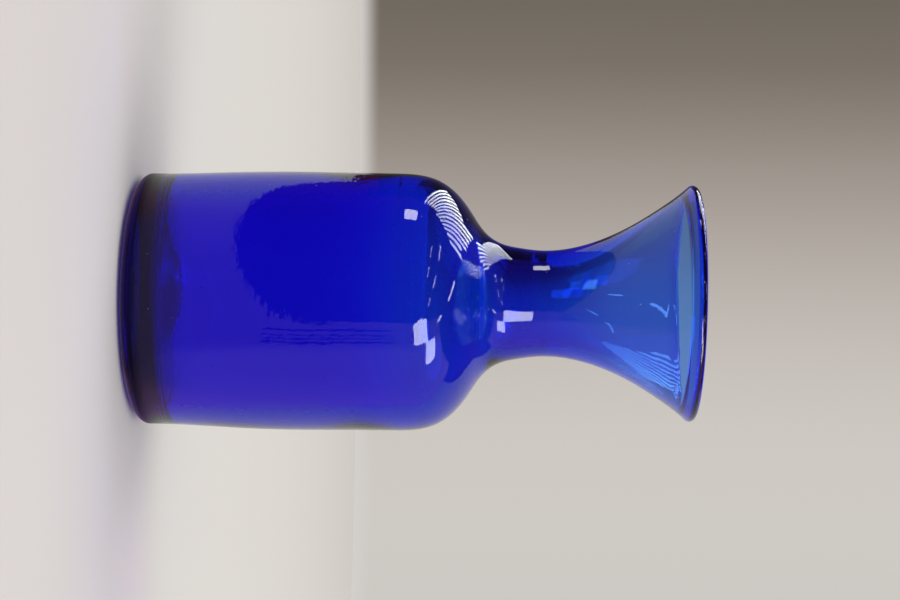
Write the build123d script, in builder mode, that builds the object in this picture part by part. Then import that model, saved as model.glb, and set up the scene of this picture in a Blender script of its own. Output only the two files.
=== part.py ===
from build123d import *

import os

# A free-standing vase of blown glass, made in one piece: a thick solid foot, an upright body,
# a rounded shoulder, a narrow neck and a trumpet mouth with a fire-polished lip.
# Millimetres, +Z up. The origin is the centre of the foot, on the surface the vase stands on.

# ---- driving dimensions ----------------------------------------------------------------
height = 240.0

foot_radius = 54.0          # outside, just above the rounded heel
heel_width = 10.0           # how far the rounded heel runs in under the body
heel_height = 6.4
rest_ring_inner = 30.0      # the flat ring that the vase stands on, inside edge
punt_height = 3.0           # shallow hollow under the foot, left by the pontil

belly_radius = 55.5         # the body swells a little above the foot
belly_height = 50.0
body_top = 112.0            # the body starts to turn in here

neck_radius = 22.9
neck_height = 175.5

lip_radius = 50.7           # the widest part of the mouth
lip_thickness = 4.6         # the fire-polished rim, a bead twice as thick as the flare
lip_lean = 43.0             # degrees that the flared wall leans outwards at the rim
mouth_lean = 35.0           # and a little below it

floor_height = 12.4         # solid glass under the hollow, at its edge
floor_crown = 6.6           # the floor rises this much in the middle
crown_radius = 26.0
floor_round = 4.5           # radius where the floor turns up into the wall

wall_foot = 8.0             # the glass is thick low down and thins towards the mouth
wall_low = 8.0
wall_middle = 7.0
wall_body = 5.0
wall_shoulder = 4.2
wall_neck = 4.6
wall_flare = 3.0
wall_mouth = 2.3
middle_height = 90.0
bead_depth = 6.8            # how far the thick lip reaches down from the rim

# ---- places worked out from the dimensions ---------------------------------------------
rest_ring_outer = foot_radius - heel_width
shoulder_drop = neck_height - body_top
flare_rise = height - neck_height


def outward(x, z, lean, distance):
    """The point a distance square off a wall that leans out by lean degrees from upright."""
    step = Vector(distance, 0).rotate(Axis.Z, -lean)
    return (x + step.X, z + step.Y)


# Outer outline, up the body and over the shoulder to the neck.
heel_top = (foot_radius, heel_height)
belly = (belly_radius, belly_height)
body_end = (belly_radius - 0.1, body_top)
shoulder_round = (belly_radius - 2.9, body_top + 0.27 * shoulder_drop)
shoulder_edge = (belly_radius - 9.4, body_top + 0.41 * shoulder_drop)
shoulder_steep = (belly_radius - 17.5, body_top + 0.505 * shoulder_drop)
neck_turn = (neck_radius + 7.1, body_top + 0.598 * shoulder_drop)
neck_root = (neck_radius + 3.1, body_top + 0.695 * shoulder_drop)
neck_below = (neck_radius + 1.2, body_top + 0.815 * shoulder_drop)
neck = (neck_radius, neck_height)

# Outer outline, up the flare to the lip.
flare_low = (neck_radius + 4.4, neck_height + 0.35 * flare_rise)
flare_middle = (neck_radius + 9.6, neck_height + 0.535 * flare_rise)
flare_high = (neck_radius + 18.7, neck_height + 0.767 * flare_rise)
lip_centre = (lip_radius - lip_thickness / 2, height - lip_thickness / 2)
lip_outside = outward(*lip_centre, lip_lean, lip_thickness / 2)
lip_inside = outward(*lip_centre, lip_lean, -lip_thickness / 2)
lip_top = outward(*lip_centre, lip_lean - 90, lip_thickness / 2)
bead_edge = (lip_radius - 2.6, height - bead_depth)
mouth_edge = (bead_edge[0] - 2.0, bead_edge[1] - 2.6)

# Inner outline: the outer one, set in by the wall.
inner_foot = (foot_radius - wall_foot, floor_height + floor_round)
inner_belly = (belly_radius - wall_low, belly_height + 5.0)
inner_middle = (belly_radius - wall_middle, middle_height)
inner_body_end = (body_end[0] - wall_body, body_top)
inner_shoulder_round = outward(*shoulder_round, -22.0, -wall_shoulder)
inner_shoulder_edge = outward(*shoulder_edge, -48.0, -wall_shoulder)
inner_shoulder_steep = outward(*shoulder_steep, -56.0, -wall_shoulder)
inner_neck_root = outward(*neck_root, -21.0, -wall_neck)
inner_neck = (neck_radius - wall_neck, neck_height)
inner_flare_low = outward(*flare_low, 20.0, -wall_flare)
inner_flare_middle = outward(*flare_middle, 28.0, -wall_mouth)
inner_flare_high = outward(*flare_high, mouth_lean, -wall_mouth)
inner_mouth_edge = outward(*mouth_edge, 38.0, -wall_mouth)
inner_bead_edge = outward(*bead_edge, 41.0, -lip_thickness)

upright = (0, 1)
downward = (0, -1)
lip_direction = Vector(0, 1).rotate(Axis.Z, -lip_lean)
mouth_direction = Vector(0, 1).rotate(Axis.Z, -mouth_lean)

# ---- the vase ----------------------------------------------------------------------------
with BuildPart() as glass_vase:
    with BuildSketch(Plane.XZ) as section:
        with BuildLine() as outline:
            # Underside: the punt, the resting ring and the rounded heel.
            punt = ThreePointArc(
                (0, punt_height),
                (rest_ring_inner / 2, punt_height * 0.76),
                (rest_ring_inner, 0),
            )
            Line(punt @ 1, (rest_ring_outer, 0))
            EllipticalCenterArc(
                center=(rest_ring_outer, heel_height),
                x_radius=heel_width,
                y_radius=heel_height,
                start_angle=-90,
                arc_size=90,
            )
            # Outside: body, shoulder, neck, flare.
            Spline(heel_top, belly, body_end, tangents=(upright, upright))
            Spline(
                body_end,
                shoulder_round,
                shoulder_edge,
                shoulder_steep,
                neck_turn,
                neck_root,
                neck_below,
                neck,
                tangents=(upright, upright),
            )
            Spline(
                neck,
                flare_low,
                flare_middle,
                flare_high,
                lip_outside,
                tangents=(upright, lip_direction),
            )
            # The rounded rim.
            ThreePointArc(lip_outside, lip_top, lip_inside)
            # Inside: flare, neck, shoulder and body.
            Spline(
                lip_inside,
                inner_bead_edge,
                inner_mouth_edge,
                inner_flare_high,
                tangents=(lip_direction * -1, mouth_direction * -1),
            )
            Spline(
                inner_flare_high,
                inner_flare_middle,
                inner_flare_low,
                inner_neck,
                tangents=(mouth_direction * -1, downward),
            )
            Spline(
                inner_neck,
                inner_neck_root,
                inner_shoulder_steep,
                inner_shoulder_edge,
                inner_shoulder_round,
                inner_body_end,
                tangents=(downward, downward),
            )
            Spline(
                inner_body_end,
                inner_middle,
                inner_belly,
                inner_foot,
                tangents=(downward, downward),
            )
            # The floor, with its rounded edge and raised middle.
            floor_edge = RadiusArc(
                inner_foot,
                (inner_foot[0] - floor_round, floor_height),
                floor_round,
            )
            Line(floor_edge @ 1, (crown_radius, floor_height))
            Spline(
                (crown_radius, floor_height),
                (crown_radius * 0.6, floor_height + floor_crown * 0.5),
                (crown_radius * 0.3, floor_height + floor_crown * 0.92),
                (0, floor_height + floor_crown),
                tangents=((-1, 0), (-1, 0)),
            )
            Line((0, floor_height + floor_crown), (0, punt_height))
        make_face()
    revolve(axis=Axis.Z)

glass_vase.part.label = "glass_vase"

os.makedirs("parts", exist_ok=True)
export_step(glass_vase.part, "parts/glass_vase.step")
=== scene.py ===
"""A clear cobalt-blue blown-glass vase on a pale table, in plain soft studio light."""

import math

import bmesh
import bpy
import numpy as np
from mathutils import Matrix, Vector


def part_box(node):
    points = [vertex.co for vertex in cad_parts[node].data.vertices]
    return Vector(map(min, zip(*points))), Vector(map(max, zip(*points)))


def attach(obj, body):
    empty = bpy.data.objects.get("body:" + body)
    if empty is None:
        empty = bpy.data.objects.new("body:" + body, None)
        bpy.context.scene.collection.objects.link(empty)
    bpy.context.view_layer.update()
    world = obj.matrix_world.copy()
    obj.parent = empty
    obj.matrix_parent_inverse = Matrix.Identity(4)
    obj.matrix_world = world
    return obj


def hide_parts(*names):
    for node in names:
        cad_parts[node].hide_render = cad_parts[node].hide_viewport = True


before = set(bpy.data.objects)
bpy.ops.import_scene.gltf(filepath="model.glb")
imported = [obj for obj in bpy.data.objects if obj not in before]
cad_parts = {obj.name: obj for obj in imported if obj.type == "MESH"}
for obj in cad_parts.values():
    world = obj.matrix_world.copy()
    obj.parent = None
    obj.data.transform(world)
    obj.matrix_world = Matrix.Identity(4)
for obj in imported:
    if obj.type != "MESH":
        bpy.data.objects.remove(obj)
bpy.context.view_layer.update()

# ---- the vase's own measures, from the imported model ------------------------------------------
BASE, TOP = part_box("glass_vase")
HEIGHT = TOP.z - BASE.z
BODY = TOP.x                    # outer radius of the body at its widest
MM = 0.001

# ---- hand-blown irregularity -----------------------------------------------------------------
LEAN = 1.2 * MM                 # how far the mouth leans to the viewer's left
RIM_DIP = 0.30 * MM             # how unevenly the rim was fire-polished
SURFACE_WAVE = 0.10 * MM        # slow ripple left by the blowing and the mould
FLOOR_TILT = 1.6 * MM           # the floor inside is lower at the back
CROWN_SHIFT = 4.0 * MM          # and its hump stands to the viewer's left
FLOOR_REACH = 40 * MM           # how high the floor's tilt and shift are felt
NECK_BOW = 1.6 * MM             # how far the neck leans towards the viewer

AROUND = 164                    # mesh segments round the axis


def curve(points, start, end, count):
    """A smooth curve through points, leaving along start and arriving along end."""
    p = np.array(points, float)
    t = np.concatenate([[0.0], np.cumsum(np.linalg.norm(np.diff(p, axis=0), axis=1))])
    n = len(p)
    step = np.diff(t)
    a = np.zeros((n, n))
    b = np.zeros((n, 2))
    a[0, 0] = a[-1, -1] = 1.0
    b[0] = np.array(start, float) / np.linalg.norm(start)
    b[-1] = np.array(end, float) / np.linalg.norm(end)
    for i in range(1, n - 1):
        a[i, i - 1] = step[i]
        a[i, i] = 2 * (step[i - 1] + step[i])
        a[i, i + 1] = step[i - 1]
        rise = (p[i + 1] - p[i]) / step[i]
        run = (p[i] - p[i - 1]) / step[i - 1]
        b[i] = 3 * (step[i - 1] * rise + step[i] * run)
    slope = np.linalg.solve(a, b)
    made = []
    for s in np.linspace(0.0, t[-1], count):
        i = min(int(np.searchsorted(t, s, side="right")) - 1, n - 2)
        h = step[i]
        u = (s - t[i]) / h
        made.append(
            (2 * u**3 - 3 * u**2 + 1) * p[i]
            + (u**3 - 2 * u**2 + u) * h * slope[i]
            + (3 * u**2 - 2 * u**3) * p[i + 1]
            + (u**3 - u**2) * h * slope[i + 1]
        )
    return [tuple(q) for q in made]


def smooth_step(low, high, x):
    """Rises smoothly from 0 to 1 as x goes from low to high."""
    u = min(max((x - low) / (high - low), 0.0), 1.0)
    return u * u * (3 - 2 * u)


def set_in(point, lean, wall):
    """The point of the inner surface across a wall that leans out by lean degrees."""
    a = math.radians(lean)
    return (point[0] - wall * math.cos(a), point[1] + wall * math.sin(a))


def arc(centre, radius, first, last, count):
    """Points on a circle from angle first to angle last, in degrees."""
    angles = np.radians(np.linspace(first, last, count))
    return [(centre[0] + radius * math.cos(a), centre[1] + radius * math.sin(a)) for a in angles]


# ---- outline, as (radius, height) in metres --------------------------------------------------
FOOT = BODY - 1.75 * MM
HEEL_WIDTH, HEEL_HEIGHT = 10.0 * MM, 6.4 * MM
REST_RING = 30.0 * MM
PUNT = 3.0 * MM
NECK, NECK_HEIGHT = 22.9 * MM, 175.5 * MM
LIP, LIP_THICK, LIP_LEAN = 50.7 * MM, 4.6 * MM, 43.0
FLOOR, CROWN, CROWN_RADIUS, FLOOR_ROUND = 12.4 * MM, 6.6 * MM, 37.0 * MM, 4.5 * MM
WALL_FOOT, WALL_LOW, WALL_MIDDLE, WALL_BODY = 8.0 * MM, 8.0 * MM, 7.0 * MM, 5.0 * MM
WALL_SHOULDER, WALL_NECK, WALL_FLARE, WALL_THIN = 4.2 * MM, 4.6 * MM, 3.0 * MM, 2.3 * MM
BODY_END = (BODY - 0.30 * MM, 112.0 * MM)           # where the body turns into the shoulder
SHOULDER_LOW = (BODY - 3.0 * MM, 129.1 * MM)
SHOULDER_MIDDLE = (BODY - 9.6 * MM, 138.0 * MM)
SHOULDER_HIGH = (BODY - 17.7 * MM, 144.1 * MM)
NECK_ROOT = (NECK + 3.1 * MM, 156.1 * MM)
FLARE_LOW, FLARE_MIDDLE, FLARE_HIGH = 198.1 * MM, 210.0 * MM, 225.0 * MM
FOLDED_LIP = (LIP_THICK, 232.5 * MM, 233.7 * MM)    # its wall, and the heights it thickens over
PLAIN_LIP = (2.9 * MM, 231.0 * MM, 236.0 * MM)      # the same at the back, where it isn't folded
FOLD_BEGINS, FOLD_WHOLE = -0.65, 0.10   # where one becomes the other; 1 is the very front


def outside_flare():
    """From the neck up to the outside of the lip."""
    a = math.radians(LIP_LEAN)
    lip_across, lip_up = LIP_THICK / 2 * math.cos(a), LIP_THICK / 2 * math.sin(a)
    return curve(
        [
            (NECK, NECK_HEIGHT),
            (NECK + 4.4 * MM, FLARE_LOW),
            (NECK + 9.6 * MM, FLARE_MIDDLE),
            (NECK + 18.7 * MM, FLARE_HIGH),
            (LIP - LIP_THICK / 2 + lip_across, HEIGHT - LIP_THICK / 2 - lip_up),
        ],
        (0, 1), (math.sin(a), math.cos(a)), 120,
    )


def inside_flare(lip_wall, low, high):
    """From the lip down to the neck, a wall's thickness inside the outer surface."""
    outer = np.array(outside_flare())
    walls = np.array(curve(
        [
            (NECK_HEIGHT, WALL_NECK),
            (FLARE_LOW, WALL_FLARE),
            (FLARE_MIDDLE, WALL_THIN * 1.08),
            (FLARE_HIGH, WALL_THIN),
            (HEIGHT, WALL_THIN),
        ],
        (1, -0.07), (1, 0), 200,
    ))
    along = np.gradient(outer, axis=0)
    along /= np.linalg.norm(along, axis=1)[:, None]
    made = []
    for (r, z), (out, up) in zip(outer[::-1], along[::-1]):
        wall = float(np.interp(z, walls[:, 0], walls[:, 1]))
        wall += (lip_wall - wall) * smooth_step(low, high, z)
        made.append((r - up * wall, z + out * wall))
    return made


def outside(lip_wall):
    """From the middle of the underside out, up the body and neck to the outside of the lip."""
    ring = FOOT - HEEL_WIDTH
    under = curve([(0, PUNT), (REST_RING * 0.5, PUNT * 0.76), (REST_RING, 0)], (1, 0), (1, -0.25), 14)
    flat = [(REST_RING + (ring - REST_RING) * k / 4, 0.0) for k in range(1, 5)]
    heel = []
    for k in range(1, 19):
        a = math.radians(-90 + 90 * k / 18)
        heel.append((ring + HEEL_WIDTH * math.cos(a), HEEL_HEIGHT * (1 + math.sin(a))))
    body = curve([(FOOT, HEEL_HEIGHT), (BODY - 0.25 * MM, 50 * MM), BODY_END], (0, 1), (0, 1), 46)
    shoulder = curve(
        [
            BODY_END,
            SHOULDER_LOW,
            SHOULDER_MIDDLE,
            SHOULDER_HIGH,
            (NECK + 7.1 * MM, 150.0 * MM),
            NECK_ROOT,
            (NECK + 1.2 * MM, 163.8 * MM),
            (NECK, NECK_HEIGHT),
        ],
        (0, 1), (0, 1), 84,
    )
    flare = outside_flare()
    end = set_in(flare[-1], LIP_LEAN, lip_wall / 2)
    rim = arc(end, lip_wall / 2, -LIP_LEAN, 180 - LIP_LEAN, 22)
    return under + flat + heel + body[1:] + shoulder[1:] + flare[1:] + rim[1:]


def inside(lip):
    """From the inside of the lip down to the middle of the floor."""
    flare = inside_flare(*lip)
    body_top = (BODY_END[0] - WALL_BODY, BODY_END[1])
    shoulder = curve(
        [
            flare[-1],
            set_in(NECK_ROOT, -21, WALL_NECK),
            set_in(SHOULDER_HIGH, -56, WALL_SHOULDER),
            set_in(SHOULDER_MIDDLE, -48, WALL_SHOULDER),
            set_in(SHOULDER_LOW, -22, WALL_SHOULDER),
            body_top,
        ],
        (0, -1), (0, -1), 76,
    )
    wall_low = (FOOT - WALL_FOOT, FLOOR + FLOOR_ROUND)
    body = curve(
        [
            body_top,
            (BODY - 0.2 * MM - WALL_MIDDLE, 90 * MM),
            (BODY - 0.3 * MM - WALL_LOW, 55 * MM),
            wall_low,
        ],
        (-0.05, -1), (0, -1), 46,
    )
    corner = arc((wall_low[0] - FLOOR_ROUND, wall_low[1]), FLOOR_ROUND, 0, -90, 14)
    flat_end = corner[-1][0]
    flat = [(flat_end + (CROWN_RADIUS - flat_end) * k / 6, FLOOR) for k in range(1, 7)]
    crown = curve(
        [
            flat[-1],
            (CROWN_RADIUS * 0.62, FLOOR + CROWN * 0.34),
            (CROWN_RADIUS * 0.32, FLOOR + CROWN * 0.86),
            (0, FLOOR + CROWN),
        ],
        (-1, 0), (-1, 0), 20,
    )
    return flare[1:] + shoulder[1:] + body[1:] + corner[1:] + flat + crown[1:]


def worked_by_hand(r, z, angle, inner):
    """Moves a point of the true body of revolution as the glassblower's hand would have."""
    up = z / HEIGHT
    ripple = SURFACE_WAVE * (
        math.sin(3 * angle + 9 * up) * 0.5
        + math.sin(5 * angle - 23 * up + 1.0) * 0.3
        + math.sin(2 * angle + 41 * up + 2.0) * 0.2
    )
    grow = smooth_step(0.04, 0.2, up) * (1 - smooth_step(0.93, 0.99, up))
    if inner:
        ripple = ripple * 2.2 + SURFACE_WAVE * 1.5 * math.sin(2 * angle + 14 * up + 0.6)
        grow = smooth_step(0.05, 0.12, up) * (1 - smooth_step(0.93, 0.99, up))
    else:
        ripple = ripple - SURFACE_WAVE
    r = max(r + ripple * grow * min(r / (20 * MM), 1.0), 0.0)
    shift = -LEAN * smooth_step(0.58, 1.0, up)
    at_rim = smooth_step(0.9, 1.0, up)
    z = z - RIM_DIP * at_rim * (1 - math.cos(2 * angle - 0.9)) * 0.5
    bow = -NECK_BOW * smooth_step(0.583, 0.742, up)
    x, y = r * math.cos(angle) + shift, r * math.sin(angle) + bow
    if inner and z < FLOOR_REACH:
        near_floor = 1 - smooth_step(FLOOR + CROWN, FLOOR_REACH, z)
        z -= FLOOR_TILT * near_floor * y / BODY
        x -= CROWN_SHIFT * near_floor * (1 - smooth_step(0.2, 0.8, r / BODY))
    return x, y, z


def glass_vase():
    """One closed mesh: the outside, over the lip, and the inside down to the floor."""
    out = outside(LIP_THICK)
    folded = out + inside(FOLDED_LIP)
    unfolded = outside(PLAIN_LIP[0]) + inside(PLAIN_LIP)
    mesh = bmesh.new()
    rings = []
    on_axis = 1e-7
    for index, ((r, z), (plain_r, plain_z)) in enumerate(zip(folded, unfolded)):
        inner = index >= len(out)
        if r < on_axis:
            rings.append([mesh.verts.new(worked_by_hand(0.0, z, 0.0, inner))])
            continue
        ring = []
        for k in range(AROUND):
            angle = 2 * math.pi * k / AROUND
            fold = smooth_step(FOLD_BEGINS, FOLD_WHOLE, -math.sin(angle))
            there = (plain_r + (r - plain_r) * fold, plain_z + (z - plain_z) * fold)
            ring.append(mesh.verts.new(worked_by_hand(*there, angle, inner)))
        rings.append(ring)
    for low, high in zip(rings, rings[1:]):
        for k in range(AROUND):
            j = (k + 1) % AROUND
            if len(low) == 1:
                mesh.faces.new((low[0], high[j], high[k]))
            elif len(high) == 1:
                mesh.faces.new((low[k], low[j], high[0]))
            else:
                mesh.faces.new((low[k], low[j], high[j], high[k]))
    bmesh.ops.recalc_face_normals(mesh, faces=mesh.faces)
    data = bpy.data.meshes.new("blown_glass_vase")
    mesh.to_mesh(data)
    mesh.free()
    data.polygons.foreach_set("use_smooth", [True] * len(data.polygons))
    piece = bpy.data.objects.new("blown_glass_vase", data)
    bpy.context.collection.objects.link(piece)
    return piece


# ---- materials -------------------------------------------------------------------------------
GLASS_INDEX = 1.51
GLASS_COLOUR = (0.02, 0.53, 0.972)      # a metre of glass absorbs (1 - colour) * density
GLASS_DENSITY = 800.0
SEED_CELLS = 230.0                      # cells to a metre, some of which hold one seed
SEED_EDGE, SEED_CORE = 0.085, 0.045     # a seed's size, in cells
SEEDLESS = 0.86                         # the share of cells without one
SEED_ROUGHNESS = 0.35


def add_node(material, kind, **settings):
    """A shader node; each setting is an attribute of it or else the name of a socket."""
    node = material.node_tree.nodes.new(kind)
    for name, value in settings.items():
        if hasattr(node, name):
            setattr(node, name, value)
        else:
            node.inputs[name.replace("_", " ").title()].default_value = value
    return node


def stretch(material, value, low, high, start=0.0, smooth=False):
    """Rises from start to 1 as value goes from low to high."""
    node = add_node(material, "ShaderNodeMapRange")
    node.interpolation_type = "SMOOTHSTEP" if smooth else "LINEAR"
    node.inputs["From Min"].default_value = low
    node.inputs["From Max"].default_value = high
    node.inputs["To Min"].default_value = start
    material.node_tree.links.new(value, node.inputs["Value"])
    return node.outputs["Result"]


def noise_bump(material, under, scale, detail, distance, axes=(1, 1, 1)):
    """Shallow noise over the bump called under; axes scales how fine it is along x, y and z."""
    link = material.node_tree.links.new
    place = add_node(material, "ShaderNodeTexCoord")
    mapping = add_node(material, "ShaderNodeMapping")
    mapping.inputs["Scale"].default_value = axes
    noise = add_node(material, "ShaderNodeTexNoise", Scale=scale, Detail=detail)
    bump = add_node(material, "ShaderNodeBump", Strength=1.0, Distance=distance)
    link(place.outputs["Object"], mapping.inputs["Vector"])
    link(mapping.outputs["Vector"], noise.inputs["Vector"])
    link(noise.outputs[0], bump.inputs["Height"])
    if under:
        link(under.outputs["Normal"], bump.inputs["Normal"])
    return bump


def colour_ramp(material, value, first, last, stops, interpolation="LINEAR"):
    """A colour for each value from 0 to 1; stops are (value, colour) between first and last."""
    shade = add_node(material, "ShaderNodeValToRGB")
    ramp = shade.color_ramp
    ramp.interpolation = interpolation
    ramp.elements[0].color = (*first, 1)
    ramp.elements[1].color = (*last, 1)
    for place, colour in stops:
        ramp.elements.new(place).color = (*colour, 1)
    material.node_tree.links.new(value, shade.inputs[0])
    return shade.outputs[0]


def blend_from(material, colour, other, amount):
    """Goes from a fixed colour to the other one as amount goes from 0 to 1."""
    blend = add_node(material, "ShaderNodeMix", data_type="RGBA")
    blend.inputs[6].default_value = (*colour, 1)
    material.node_tree.links.new(amount, blend.inputs[0])
    material.node_tree.links.new(other, blend.inputs[7])
    return blend.outputs[2]


def cobalt_glass():
    """Clear blue glass: colour from its depth, with faint waves, seeds and dust on the surface."""
    material = bpy.data.materials.new("cobalt_glass")
    material.use_nodes = True
    tree = material.node_tree
    link = tree.links.new
    shader = tree.nodes["Principled BSDF"]
    shader.inputs["Base Color"].default_value = (1, 1, 1, 1)
    shader.inputs["Roughness"].default_value = 0.0
    shader.inputs["IOR"].default_value = GLASS_INDEX
    shader.inputs["Transmission Weight"].default_value = 1.0

    depth = tree.nodes.new("ShaderNodeVolumeAbsorption")
    depth.inputs["Color"].default_value = (*GLASS_COLOUR, 1)
    depth.inputs["Density"].default_value = GLASS_DENSITY
    link(depth.outputs["Volume"], tree.nodes["Material Output"].inputs["Volume"])

    # Rings left by turning on the pipe, a slow swell, and the mould's chill marks on the body.
    rings = noise_bump(
        material, None, scale=520.0, detail=1.0, distance=0.012 * MM, axes=(0.30, 0.30, 1.0)
    )
    swell = noise_bump(
        material, rings, scale=210.0, detail=1.0, distance=0.018 * MM, axes=(0.55, 0.55, 1.0)
    )
    marks = noise_bump(material, swell, scale=300.0, detail=2.0, distance=0.050 * MM)
    place = add_node(material, "ShaderNodeTexCoord")
    height = add_node(material, "ShaderNodeSeparateXYZ")
    link(place.outputs["Object"], height.inputs[0])
    on_body = stretch(material, height.outputs["Z"], 120 * MM, 95 * MM)
    link(on_body, marks.inputs["Strength"])

    # Seeds and dust: a few tiny dots, one in some of the cells, each a raised rough speck.
    cells = add_node(material, "ShaderNodeTexVoronoi", Scale=SEED_CELLS)
    link(place.outputs["Object"], cells.inputs["Vector"])
    near = stretch(material, cells.outputs["Distance"], SEED_EDGE, SEED_CORE)
    chosen = add_node(material, "ShaderNodeMath", operation="GREATER_THAN")
    chosen.inputs[1].default_value = SEEDLESS
    split = add_node(material, "ShaderNodeSeparateColor")
    link(cells.outputs["Color"], split.inputs[0])
    link(split.outputs[0], chosen.inputs[0])
    speck = add_node(material, "ShaderNodeMath", operation="MULTIPLY")
    link(near, speck.inputs[0])
    link(chosen.outputs[0], speck.inputs[1])
    speck_bump = add_node(material, "ShaderNodeBump", Strength=1.0, Distance=0.10 * MM)
    link(speck.outputs[0], speck_bump.inputs["Height"])
    link(marks.outputs["Normal"], speck_bump.inputs["Normal"])
    link(speck_bump.outputs["Normal"], shader.inputs["Normal"])
    worn = add_node(material, "ShaderNodeMath", operation="MULTIPLY")
    worn.inputs[1].default_value = SEED_ROUGHNESS
    link(speck.outputs[0], worn.inputs[0])
    link(worn.outputs[0], shader.inputs["Roughness"])
    return material


def plain(name, colour, roughness):
    """An opaque surface of one colour."""
    material = bpy.data.materials.new(name)
    material.use_nodes = True
    shader = material.node_tree.nodes["Principled BSDF"]
    shader.inputs["Base Color"].default_value = (*colour, 1)
    shader.inputs["Roughness"].default_value = roughness
    return material


def glow(name, colour, strength):
    """A surface that gives light."""
    material = bpy.data.materials.new(name)
    material.use_nodes = True
    nodes, links = material.node_tree.nodes, material.node_tree.links
    nodes.remove(nodes["Principled BSDF"])
    shader = nodes.new("ShaderNodeEmission")
    shader.inputs["Color"].default_value = (*colour, 1)
    shader.inputs["Strength"].default_value = strength
    links.new(shader.outputs["Emission"], nodes["Material Output"].inputs["Surface"])
    material.cycles.emission_sampling = "NONE"
    return material


# ---- studio ----------------------------------------------------------------------------------
# The room lies at an angle to the view. Its own axes are across and along, and bearing 0 is
# behind the camera, with positive bearings to the camera's right.
ALONG = Vector((0.6, -0.8, 0))
ACROSS = Vector((0.8, 0.6, 0))
VASE_MIDDLE = Vector((0, 0, HEIGHT / 2))
CEILING = 2.0                           # height of the ceiling above the middle of the vase
TABLE_LEVEL = -0.15 * MM                # a hair under the foot
TABLE_EDGE = 0.30                       # from the vase to the straight edge
TABLE_NEAR, TABLE_FAR = 0.83, 1.52      # how far that edge runs each way
TABLE_BACK = 1.55                       # radius of the round part
TABLE_END = -68                         # where the round part ends, in degrees from +x
WALL_RADIUS = 2.6
DIM_SIDE, DIM_LOW, DIM_HIGH = 3.5, -1.9, 3.9    # half width, floor and ceiling of the dim room
# Colours of the light that the glass mirrors, by side.
PALE = (0.62, 0.60, 0.58)
VIOLET_LEFT = (0.60, 0.37, 0.62)
VIOLET_FRONT = (0.45, 0.23, 0.48)
VIOLET_RIGHT = (0.72, 0.42, 1.00)
# Painted light: the blue that the glass throws on the table just in front of it.
BLUE_NEAR = (0.40, 0.32, 0.90)


def in_room(across, along, up):
    """A place in the room, in ceiling heights from the middle of the vase."""
    return tuple(
        (ACROSS * across + ALONG * along) * CEILING + VASE_MIDDLE + Vector((0, 0, up * CEILING))
    )


def add_mesh(name, verts, faces, material, smooth=False):
    """A piece of the studio, which is not part of the vase."""
    data = bpy.data.meshes.new(name)
    data.from_pydata(verts, [], faces)
    data.materials.append(material)
    data.polygons.foreach_set("use_smooth", [smooth] * len(data.polygons))
    obj = bpy.data.objects.new(name, data)
    bpy.context.collection.objects.link(obj)
    return obj


def only_reflected(obj, through=False):
    """Keeps a card out of the picture, except as the glass mirrors it.

    With through, it is also seen by looking through the glass.
    """
    obj.visible_camera = False
    obj.visible_diffuse = False
    obj.visible_shadow = False
    obj.visible_volume_scatter = False
    obj.visible_transmission = through


def table():
    """A pale table: round at the back, with one straight edge at the viewer's left front."""
    edge = -ACROSS * TABLE_EDGE
    near_end = edge + ALONG * TABLE_NEAR
    far_end = edge - ALONG * TABLE_FAR
    turn = math.atan2(far_end.y, far_end.x)
    rim = [
        (TABLE_BACK * math.cos(a), TABLE_BACK * math.sin(a), TABLE_LEVEL)
        for a in np.linspace(turn, math.radians(TABLE_END), 96)
    ]
    rim += [(near_end.x, near_end.y, TABLE_LEVEL)]
    surface = plain("table", (0.76, 0.735, 0.705), 0.7)
    add_mesh("table", rim, [tuple(range(len(rim)))], surface).visible_glossy = False
    # The glass mirrors a glowing copy of the table, a painted reflection with painted light and
    # shade, in place of the table itself.
    only_reflected(add_mesh("table_mirrored", rim, [tuple(range(len(rim)))], table_light()))


def by_bearing(name, stops):
    """Light whose colour changes with the bearing from the vase; stops are (bearing, colour)."""
    material = glow(name, (1, 1, 1), 1.0)
    nodes, link = material.node_tree.nodes, material.node_tree.links.new
    split = add_node(material, "ShaderNodeSeparateXYZ")
    link(add_node(material, "ShaderNodeTexCoord").outputs["Object"], split.inputs[0])
    front = add_node(material, "ShaderNodeMath", operation="MULTIPLY")
    front.inputs[1].default_value = -1.0
    link(split.outputs["Y"], front.inputs[0])
    bearing = add_node(material, "ShaderNodeMath", operation="ARCTAN2")
    link(split.outputs["X"], bearing.inputs[0])
    link(front.outputs[0], bearing.inputs[1])
    spread = stretch(material, bearing.outputs[0], -math.pi, math.pi)
    between = [((degrees + 180) / 360, colour) for degrees, colour in stops[1:-1]]
    shade = colour_ramp(material, spread, stops[0][1], stops[-1][1], between)
    link(shade, nodes["Emission"].inputs["Color"])
    return material


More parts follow.
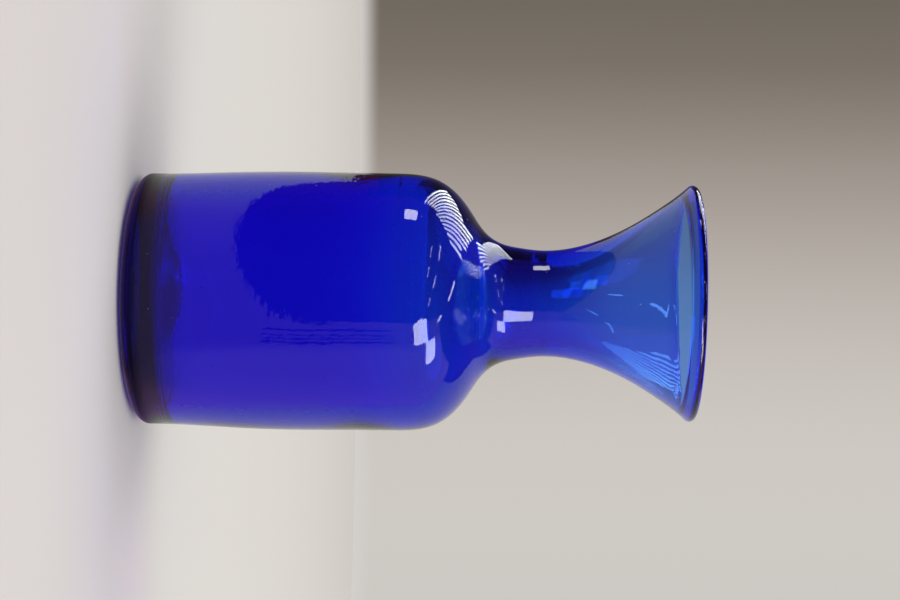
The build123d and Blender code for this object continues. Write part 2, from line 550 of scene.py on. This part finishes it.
def table_light():
    """The table as the glass mirrors it, a glowing painted reflection: violet in front, pale behind,
    with a painted shadow round the foot.
    """
    material = by_bearing("table_light", (
        (-180, PALE), (-100, PALE), (-75, VIOLET_LEFT), (-25, VIOLET_FRONT), (36, VIOLET_FRONT),
        (44, VIOLET_RIGHT), (94, VIOLET_RIGHT), (112, PALE), (180, PALE),
    ))
    nodes, link = material.node_tree.nodes, material.node_tree.links.new
    reach = add_node(material, "ShaderNodeVectorMath", operation="LENGTH")
    link(add_node(material, "ShaderNodeTexCoord").outputs["Object"], reach.inputs[0])
    # Painted shadow: the mirrored table glows less round the foot.
    painted_shadow = stretch(material, reach.outputs["Value"], 0.062, 0.115, start=0.28, smooth=True)
    away = stretch(material, reach.outputs["Value"], 0.08, 0.22, smooth=True)
    beside = stretch(material, nodes["Separate XYZ"].outputs["Y"], -0.070, -0.035)
    # Painted light through the glass: only close in front of the vase is the mirrored table blue.
    plainly = add_node(material, "ShaderNodeMath", operation="MAXIMUM")
    link(away, plainly.inputs[0])
    link(beside, plainly.inputs[1])
    shade = nodes["Color Ramp"].outputs[0]
    blend = blend_from(material, BLUE_NEAR, shade, plainly.outputs[0])
    link(blend, nodes["Emission"].inputs["Color"])
    link(painted_shadow, nodes["Emission"].inputs["Strength"])
    return material


def wall(name, first, last, material, radius=WALL_RADIUS, low=-1.2, high=2.6):
    """Part of an upright round screen, between two bearings in degrees."""
    verts, faces = [], []
    count = 64
    for k in range(count + 1):
        b = math.radians(first + (last - first) * k / count)
        x, y = radius * math.sin(b), -radius * math.cos(b)
        verts += [(x, y, low), (x, y, high)]
    for k in range(count):
        faces.append((2 * k, 2 * k + 2, 2 * k + 3, 2 * k + 1))
    return add_mesh(name, verts, faces, material, smooth=True)


def backdrop_material():
    """Plain wall light: dim to the left of the view, light to the right."""
    material = glow("backdrop", (1, 1, 1), 1.0)
    nodes, link = material.node_tree.nodes, material.node_tree.links.new
    split = add_node(material, "ShaderNodeSeparateXYZ")
    link(add_node(material, "ShaderNodeTexCoord").outputs["Object"], split.inputs[0])
    half = 1.5
    spread = stretch(material, split.outputs["X"], -half, half)
    across = (
        (-0.80, (0.090, 0.075, 0.060)),
        (-0.42, (0.190, 0.165, 0.135)),
        (-0.24, (0.330, 0.290, 0.255)),
        (0.00, (0.530, 0.485, 0.450)),
        (0.25, (0.640, 0.605, 0.565)),
        (0.60, (0.600, 0.580, 0.550)),
    )
    stops = [((x + half) / (2 * half), colour) for x, colour in across]
    first, last = (0.030, 0.022, 0.018), (0.55, 0.53, 0.50)
    shade = colour_ramp(material, spread, first, last, stops, interpolation="B_SPLINE")
    # The wall meets the table without a hard line, as it does out of focus.
    foot = stretch(material, split.outputs["Z"], -0.070, -0.028, smooth=True)
    meet = blend_from(material, (0.65, 0.63, 0.60), shade, foot)
    link(meet, nodes["Emission"].inputs["Color"])
    return material


def soft_light(name, place, size, power):
    """A soft round lamp turned towards the vase, which doesn't mirror it."""
    data = bpy.data.lights.new(name, "AREA")
    data.shape = "DISK"
    data.size = size
    data.energy = power
    light = bpy.data.objects.new(name, data)
    light.location = place
    light.rotation_mode = "QUATERNION"
    light.rotation_quaternion = (VASE_MIDDLE - Vector(place)).to_track_quat("-Z", "Y")
    bpy.context.collection.objects.link(light)
    light.visible_glossy = False
    light.visible_camera = False


def upright_pane(name, along, outline, material):
    """A flat pane on a wall square to the room's length; outline is (across, up) corners."""
    corners = [in_room(across, along, up) for across, up in outline]
    pane = add_mesh(name, corners, [tuple(range(len(corners)))], material)
    only_reflected(pane, through=True)


def left_window():
    """A tall window behind the viewer's left, as the bright gaps between a blind's slats."""
    lamp = glow("window_light", (0.93, 0.96, 1.0), 8.0)
    distance = 0.66
    # Each gap is (elevation of its lower edge, height in degrees, left end, right end).
    steps = [(17.0 + 3.1 * k, 1.7, -0.58, 0.05) for k in range(7)]
    steps += [(38.7 + 3.6 * k, 1.9, -0.66, 0.13 - 0.03 * k) for k in range(5)]
    steps += [(57.0 + 5.0 * k, 2.6, -0.62, -0.12) for k in range(2)]
    verts, faces = [], []
    for degrees, broad, left, right in steps:
        low = distance * math.tan(math.radians(degrees))
        high = distance * math.tan(math.radians(degrees + broad))
        start = len(verts)
        verts += [in_room(across, -distance, up) for across, up in
                  ((left, low), (right, low), (right, high), (left, high))]
        faces.append(tuple(range(start, start + 4)))
    only_reflected(add_mesh("left_window", verts, faces, lamp))


def ceiling_tubes():
    """Rows of short bright tubes along the room."""
    lamp = glow("tube_light", (1.0, 0.97, 1.0), 11.0)
    spacing, length, half = 0.62, 0.31, 0.018
    verts, faces = [], []
    for across, first in ((-0.18, -0.11), (-0.87, -0.28), (-1.50, -0.13)):
        for k in range(4):
            low = first + spacing * k
            high = low + length
            start = len(verts)
            verts += [in_room(across + side, along, 1.0) for side, along in
                      ((-half, low), (half, low), (half, high), (-half, high))]
            faces.append(tuple(range(start, start + 4)))
    only_reflected(add_mesh("ceiling_tubes", verts, faces, lamp))


def things_on_table():
    """Slim uprights standing on the table, which the body mirrors as faint darker bands."""
    dark = glow("dark_upright", (0.10, 0.03, 0.11), 1.0)
    for bearing, width in ((23.0, 1.6), (27.6, 1.0), (30.4, 1.0), (33.4, 1.6)):
        upright = wall("upright", bearing, bearing + width, dark, radius=0.52, low=0.0, high=0.09)
        only_reflected(upright)


def studio():
    """The table, the wall behind, the lights and everything that the glass mirrors."""
    table()
    screen = backdrop_material()
    foot_top = -0.02
    wall("backdrop", 105, 255, screen, low=foot_top)
    wall("backdrop_foot", 105, 205, screen, high=foot_top)
    # The glass would mirror this part as a pale stripe down the left of the body.
    wall("backdrop_left_foot", 205, 255, screen, high=foot_top).visible_glossy = False
    front = wall("backdrop_front", -105, 105, glow("room", (0.62, 0.60, 0.57), 0.6))
    front.visible_glossy = False
    world = bpy.data.worlds.new("studio")
    world.use_nodes = True
    world.node_tree.nodes["Background"].inputs["Color"].default_value = (1.0, 0.985, 0.96, 1)
    world.node_tree.nodes["Background"].inputs["Strength"].default_value = 0.90
    world.cycles_visibility.glossy = False
    bpy.context.scene.world = world

    # What the glass mirrors: a dim room with a bright side, windows and rows of tubes.
    dim = glow("dim_room", (0.100, 0.030, 0.110), 1.0)
    only_reflected(wall("dim_room", -180, 180, dim, radius=3.4, low=-2.0, high=4.0))
    for name, up in (("dim_ceiling", DIM_HIGH), ("dim_floor", DIM_LOW)):
        corners = [(DIM_SIDE * x, DIM_SIDE * y, up) for x, y in ((-1, -1), (1, -1), (1, 1), (-1, 1))]
        only_reflected(add_mesh(name, corners, [(0, 1, 2, 3)], dim))
    bright = by_bearing("bright_side", (
        (-180, VIOLET_FRONT), (36, VIOLET_FRONT), (44, VIOLET_RIGHT), (180, VIOLET_RIGHT),
    ))
    only_reflected(wall("bright_side", 17.5, 104, bright, radius=1.52, low=-0.01, high=2.4))
    pane = glow("pane_light", (0.96, 0.97, 1.0), 10.0)
    upright_pane("near_pane", 0.60, ((-0.25, 0.24), (-0.19, 0.13), (0.012, 0.13), (0.012, 0.37),
                                     (-0.25, 0.37)), pane)
    upright_pane("far_pane", 0.60, ((0.012, 0.32), (0.27, 0.32), (0.27, 0.62), (0.012, 0.62)), pane)
    things_on_table()
    left_window()
    lamp = glow("left_door", (1.0, 0.97, 1.0), 9.0)
    only_reflected(wall("left_door", -88.5, -77.0, lamp, radius=1.6, low=0.140, high=0.372))
    ceiling_tubes()
    soft_light("key", (-1.4, 0.6, 1.9), size=2.2, power=17)
    soft_light("fill", (1.6, -0.6, 1.6), size=1.6, power=16)


# ---- camera ----------------------------------------------------------------------------------
LENS, SENSOR = 77.9, 36.0               # in millimetres
STAND = (-0.0004, -0.84, 0.1463)
PITCH, YAW, ROLL = 0.0140, -0.0010, 0.0151      # in radians, on top of the quarter turn


def camera():
    """At the photograph's viewing angle: level with the shoulder, the camera turned on its side."""
    data = bpy.data.cameras.new("camera")
    data.lens = LENS
    data.sensor_width = SENSOR
    cam = bpy.data.objects.new("camera", data)
    bpy.context.collection.objects.link(cam)
    level = math.cos(PITCH)
    ahead = Vector((math.sin(YAW) * level, math.cos(YAW) * level, -math.sin(PITCH)))
    right = Vector((math.cos(YAW), -math.sin(YAW), 0))
    up = right.cross(ahead)
    side = right * math.cos(ROLL) + up * math.sin(ROLL)
    top = up * math.cos(ROLL) - right * math.sin(ROLL)
    turned = Matrix((top, -side, -ahead)).transposed()
    cam.matrix_world = Matrix.Translation(STAND) @ turned.to_4x4()
    bpy.context.scene.camera = cam


vase = glass_vase()
vase.data.materials.append(cobalt_glass())
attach(vase, "root")
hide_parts("glass_vase")
studio()
camera()

scene = bpy.context.scene
scene.view_settings.view_transform = "Standard"
scene.cycles.max_bounces = 24
scene.cycles.transmission_bounces = 24
scene.cycles.glossy_bounces = 12
scene.cycles.transparent_max_bounces = 12
